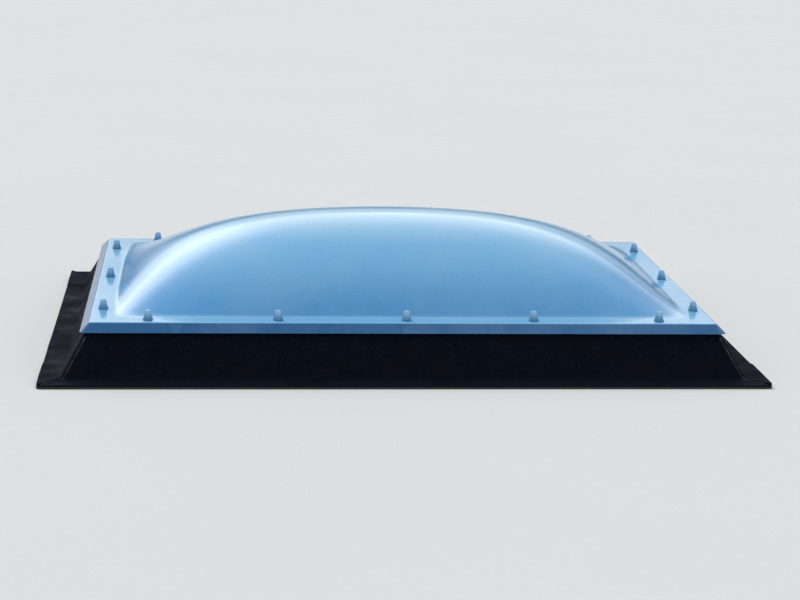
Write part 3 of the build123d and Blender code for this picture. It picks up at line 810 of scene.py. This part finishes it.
def longStripRows(shape):
    # the front strip with its returns round both corners
    rows = []
    for index, (out, height) in enumerate(feltProfile(shape, shape["sheet"])):
        halfX, halfY = shape["rim x"] + out, shape["rim y"] + out
        right = cornerPath(halfX, halfY, feltCorner(shape, index, 1), shape["corner steps"], 0, 90)
        x0, y0, back, long = right[0][0], right[-1][1], shape["return steps"], shape["long steps"]
        half = right + [(halfX, y0 + (-shape["return"] - y0) * k / back) for k in range(1, back + 1)]
        left = [(-x, y) for x, y in reversed(half)]
        middle = [(-x0 + 2 * x0 * k / long, -halfY) for k in range(1, long)]
        rows.append([(x, y, height) for x, y in left + middle + half])
    return rows


def shortStripRows(shape):
    # the right strip from mitre to mitre: its ends lie on the long strips' returns
    rows = []
    single, double = feltProfile(shape, shape["sheet"]), feltProfile(shape, 2 * shape["sheet"])
    for index, ((nearOut, nearZ), (farOut, farZ)) in enumerate(zip(single, double)):
        arc = cornerPath(shape["rim x"] + farOut, shape["rim y"] + farOut, feltCorner(shape, index, 2),
                         shape["mitre steps"], 45, 90)
        y0 = arc[-1][1]
        row = [(x, y, farZ) for x, y in arc]
        for k in range(1, shape["short steps"]):
            y = y0 + (-2 * y0) * (k / shape["short steps"])
            over = min(1.0, max(0.0, (abs(y) - shape["step"]) / (shape["return"] - shape["step"])))
            over = over * over * (3 - 2 * over)
            row.append((shape["rim x"] + (nearOut + (farOut - nearOut) * over), y, nearZ + (farZ - nearZ) * over))
        rows.append(row + [(x, -y, farZ) for x, y in reversed(arc)])
    return rows


def layFelt(name, node, rows, flipAxis, seed, shape):
    # the outer face is pressed in by hand here and there, never proud, then given its thickness
    work = bmesh.new()
    grid = [[work.verts.new([c * mm for c in point]) for point in row] for row in rows]
    for low, high in zip(grid, grid[1:]):
        for k in range(len(low) - 1):
            work.faces.new((low[k], low[k + 1], high[k + 1], high[k]))
    bmesh.ops.recalc_face_normals(work, faces=work.faces)
    work.normal_update()
    if grid[len(grid) // 2][len(grid[0]) // 2].normal.z <= 0:
        bmesh.ops.reverse_faces(work, faces=work.faces)
        work.normal_update()
    moves = []
    for r, row in enumerate(grid):
        for v in row:
            at = v.co * shape["dents"] + Vector((seed, 0, 0))
            broad, small = noise.noise(at) * 0.5 + 0.5, noise.noise(at * shape["small dents"]) * 0.5 + 0.5
            deep = broad * (1 - shape["small share"]) + small * shape["small share"]
            held = shape["edge share"] if r in (0, len(grid) - 1) else 1.0
            move = -v.normal * (shape["mould"] * mm * deep * held)
            if r == 0:  # the cut edge on the foot wanders
                away = Vector((v.co.x, v.co.y, 0)).normalized()
                stray = noise.noise(v.co * shape["wanders"] + Vector((0, seed, 3))) * 0.5 + 0.5
                move -= away * shape["wander"] * mm * stray
            moves.append((v, move))
    for v, move in moves:
        v.co += move
    mesh = bpy.data.meshes.new(name)
    work.to_mesh(mesh)
    work.free()
    piece = bpy.data.objects.new(name, mesh)
    bpy.context.scene.collection.objects.link(piece)
    wall = piece.modifiers.new("sheet", "SOLIDIFY")
    wall.thickness = (shape["sheet"] - shape["mould"] - shape["slack"]) * mm
    wall.offset = -1.0
    graph = bpy.context.evaluated_depsgraph_get()
    thick = bpy.data.meshes.new_from_object(piece.evaluated_get(graph), depsgraph=graph)
    thick.name = name
    piece.modifiers.clear()
    piece.data = thick
    if flipAxis is not None:  # the strip opposite
        for v in thick.vertices:
            v.co[flipAxis] = -v.co[flipAxis]
    thick.materials.append(gritFelt)
    closeUp(piece, shape["sharp"])
    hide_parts(node)
    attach(piece, "root")


for name, node, makeRows, flipAxis, seed in (
        ("felt_strip_front", "felt_front", longStripRows, None, 1.0),
        ("felt_strip_back", "felt_back", longStripRows, 1, 8.0),
        ("felt_strip_right", "felt_right", shortStripRows, None, 15.0),
        ("felt_strip_left", "felt_left", shortStripRows, 0, 23.0)):
    layFelt(name, node, makeRows(feltShape), flipAxis, seed, feltShape)
print("felt laid")


# bitumen squeezed out along the corner laps
bleedShape = {
    "radius": 2.2, "step": 3.0, "sides": 10, "turn": 43.0, "sunk": 0.6, "from edge": 7.0, "to height": 122.0,
    "unevenness": 0.8, "swing": 4.0, "thinnest": 0.35, "lumps": 60.0, "lump seed": 2.0, "sharp": 60.0,
}


def buildBleedTree(shape):
    # a bead that swells and thins along the seams it is given
    tree, given, result = startTree("bitumenBleed", {
        "Geometry": ("Seam",), "Float": ("Radius", "Step", "Unevenness", "Seed"), "Int": ("Sides",),
        "Material": ("Material",)})
    line = addNode(tree, "GeometryNodeMeshToCurve", None, {0: given["Seam"]}).outputs[0]
    even = addNode(tree, "GeometryNodeResampleCurve", {"mode": "LENGTH"}, {
        "Curve": line, "Length": given["Step"]}).outputs[0]
    lumps = addNode(tree, "ShaderNodeTexNoise", {"noise_dimensions": "4D"}, {
        "W": given["Seed"], "Scale": shape["lumps"], "Detail": 2.0}).outputs[0]
    size = addSteps(tree, sums, {**given, "lumps": lumps}, [
        ("centred", "SUBTRACT", "lumps", 0.5),
        ("swing", "MULTIPLY", "centred", "Unevenness"),
        ("swelling", "MULTIPLY_ADD", "swing", shape["swing"], 1.0),
        ("kept", "MAXIMUM", "swelling", shape["thinnest"]),
    ])["kept"]
    ring = addNode(tree, "GeometryNodeCurvePrimitiveCircle", {"mode": "RADIUS"}, {
        "Resolution": given["Sides"], "Radius": given["Radius"]}).outputs[0]
    bead = addNode(tree, "GeometryNodeCurveToMesh", None, {
        "Curve": even, "Profile Curve": ring, "Scale": size, "Fill Caps": True}).outputs[0]
    endTree(tree, bead, given["Material"], result)
    return tree


def seamLines(felt, shape):
    # where a side strip's cut end lies on a long strip, down each corner from under the skirt to the foot
    points, edges = [], []
    turn = math.radians(shape["turn"])
    for signX in (1, -1):
        for signY in (1, -1):
            first = len(points)
            for index, (out, height) in enumerate(feltProfile(felt, felt["sheet"] - shape["sunk"])):
                if height > shape["to height"]:
                    break
                out = min(out, felt["foot"] - shape["from edge"])
                radius = feltCorner(felt, index, 1)
                x = felt["rim x"] + out - radius + radius * math.sin(turn)
                y = felt["rim y"] + out - radius + radius * math.cos(turn)
                points.append((signX * x * mm, signY * y * mm, height * mm))
            edges += [(k, k + 1) for k in range(first, len(points) - 1)]
    mesh = bpy.data.meshes.new("seams")
    mesh.from_pydata(points, edges, [])
    return mesh


bleed = grow("lap_bitumen", buildBleedTree(bleedShape), {
    "Radius": bleedShape["radius"] * mm, "Step": bleedShape["step"] * mm,
    "Unevenness": bleedShape["unevenness"], "Seed": bleedShape["lump seed"], "Sides": bleedShape["sides"],
    "Material": bitumen}, seamLines(feltShape, bleedShape))
closeUp(bleed, bleedShape["sharp"])
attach(bleed, "root")
print("bitumen beads:", len(bleed.data.polygons), "faces")


# the kerb is its solid's own shape in a merged copy, so that its round parts shade round
kerbShape = {"sharp": 30.0}
kerb = bpy.data.objects.new("kerb_moulding", nodes["kerb"].data.copy())
bpy.context.scene.collection.objects.link(kerb)
kerb.data.materials.clear()
kerb.data.materials.append(laminate)
closeUp(kerb, kerbShape["sharp"])
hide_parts("kerb")
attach(kerb, "root")

# the seal, the tape, the screws and the washers are the solids themselves
paints = {"kerb_seal": sealRubber, "spacer_tape": foamTape, "screw_": screwZinc, "washer_": washerZinc}
for node in nodes:
    for start, material in paints.items():
        if node.startswith(start):
            nodes[node].data.materials.clear()
            nodes[node].data.materials.append(material)
print("kerb and fixings painted")


stageLook = {
    "floor": "#e2e5e7", "floor patch": "#e6e8ea", "floor reach": 60, "floor mottle": 0.8, "backdrop": 0.76,
    # elevation in degrees and brightness of the soft surround, for matt surfaces and for reflections
    "soft": [(-10.0, 0.25), (10.0, 0.35), (40.0, 0.5), (90.0, 0.6)],
    "mirrored": [(3.5, 0.15), (9.0, 0.8), (12.5, 0.8), (16.5, 2.1), (23.0, 1.7), (38.0, 1.0), (60.0, 0.55),
                 (90.0, 0.5)],
    # in reflections only, a soft box at the back left and a shade at the back right: degrees, and how much
    # brighter
    "patches": [
        {"bearing": -19.5, "half": 6.0, "soft": 12.0, "rise": (5.0, 11.0), "fall": (22.0, 42.0), "change": 1.25},
        {"bearing": 45.0, "half": 15.0, "soft": 12.0, "rise": (9.0, 15.0), "fall": (24.0, 42.0), "change": -1.0}],
    # far lamps, so the floor is lit evenly: strength, width in degrees, and where they stand
    "key": 1.5, "key width": 35.0, "key place": (-1.8, 3.0, 4.4),
    "fill": 0.35, "fill width": 60.0, "fill place": (2.5, -4.5, 3.0),
}

floorMesh = bpy.data.meshes.new("floor")
floorCorners = [(x * stageLook["floor reach"], y * stageLook["floor reach"], 0)
                for x, y in ((-1, -1), (1, -1), (1, 1), (-1, 1))]
floorMesh.from_pydata(floorCorners, [], [(0, 1, 2, 3)])
floor = bpy.data.objects.new("floor", floorMesh)
bpy.context.scene.collection.objects.link(floor)
floorPaint, floorTree, floorSurface, floorSpot = startMaterial("floorPaper")
mottle = addNode(floorTree, "ShaderNodeTexNoise", None, {
    "Vector": floorSpot, "Scale": stageLook["floor mottle"], "Detail": 3.0}).outputs[0]
tone = addNode(floorTree, "ShaderNodeMix", colourMix, {
    0: mottle, 6: hexColour(stageLook["floor"]), 7: hexColour(stageLook["floor patch"])}).outputs[2]
fillInputs(floorTree, floorSurface, {"Base Color": tone, "Roughness": 0.9})
floorMesh.materials.append(floorPaint)

world = bpy.data.worlds.new("studio")
world.use_nodes = True
bpy.context.scene.world = world
worldTree = world.node_tree
worldTree.nodes.clear()
heading = addNode(worldTree, "ShaderNodeTexCoord").outputs["Generated"]  # in a world, the direction
climb = addNode(worldTree, "ShaderNodeSeparateXYZ", None, {0: heading}).outputs["Z"]
level = addSteps(worldTree, vectors, {"heading": heading}, [
    ("flat", "MULTIPLY", "heading", onTheFlat),
    ("level", "NORMALIZE", "flat"),
])["level"]
glow = {}
for name, patches in (("soft", []), ("mirrored", stageLook["patches"])):
    levels = [(math.sin(math.radians(angle)), strength) for angle, strength in stageLook[name]]
    strength = levels[0][1]
    for (low, before), (high, after) in zip(levels, levels[1:]):
        part = addNode(worldTree, "ShaderNodeMapRange", smoothStep, {
            "Value": climb, "From Min": low, "From Max": high, "To Max": after - before}).outputs[0]
        strength = addNode(worldTree, sums, {"operation": "ADD"}, {0: strength, 1: part}).outputs[0]
    for patch in patches:
        bearing = math.radians(patch["bearing"])
        toward = addNode(worldTree, vectors, {"operation": "DOT_PRODUCT"}, {
            0: level, 1: (math.sin(bearing), math.cos(bearing), 0.0)}).outputs["Value"]
        cover = addNode(worldTree, "ShaderNodeMapRange", smoothStep, {
            "Value": toward, "From Min": math.cos(math.radians(patch["half"] + patch["soft"])),
            "From Max": math.cos(math.radians(patch["half"]))}).outputs[0]
        for limits, (below, beyond) in (("rise", (0.0, 1.0)), ("fall", (1.0, 0.0))):
            start, end = (math.sin(math.radians(angle)) for angle in patch[limits])
            part = addNode(worldTree, "ShaderNodeMapRange", smoothStep, {
                "Value": climb, "From Min": start, "From Max": end,
                "To Min": below, "To Max": beyond}).outputs[0]
            cover = addNode(worldTree, sums, {"operation": "MULTIPLY"}, {0: cover, 1: part}).outputs[0]
        strength = addNode(worldTree, sums, {"operation": "MULTIPLY_ADD"}, {
            0: cover, 1: patch["change"], 2: strength}).outputs[0]
    glow[name] = addNode(worldTree, "ShaderNodeBackground", None, {
        "Color": (1, 1, 1, 1), "Strength": strength}).outputs[0]
rays = addNode(worldTree, "ShaderNodeLightPath").outputs
shiny = addNode(worldTree, sums, {"operation": "MAXIMUM"}, {
    0: rays["Is Glossy Ray"], 1: rays["Is Transmission Ray"]}).outputs[0]
lit = addNode(worldTree, "ShaderNodeMixShader", None, {
    0: shiny, 1: glow["soft"], 2: glow["mirrored"]}).outputs[0]
plain = addNode(worldTree, "ShaderNodeBackground", None, {
    "Color": (1, 1, 1, 1), "Strength": stageLook["backdrop"]}).outputs[0]
both = addNode(worldTree, "ShaderNodeMixShader", None, {0: rays["Is Camera Ray"], 1: lit, 2: plain}).outputs[0]
addNode(worldTree, "ShaderNodeOutputWorld", None, {"Surface": both})

for name in ("key", "fill"):
    lamp = bpy.data.objects.new(name, bpy.data.lights.new(name, "SUN"))
    bpy.context.scene.collection.objects.link(lamp)
    lamp.data.energy = stageLook[name]
    lamp.data.angle = math.radians(stageLook[name + " width"])
    lamp.location = stageLook[name + " place"]
    lamp.rotation_euler = (-Vector(stageLook[name + " place"])).to_track_quat("-Z", "Y").to_euler()
    lamp.visible_camera = False
    lamp.visible_glossy = False  # the soft surround alone is mirrored
bpy.context.scene.view_settings.view_transform = "Standard"
print("stage lit")
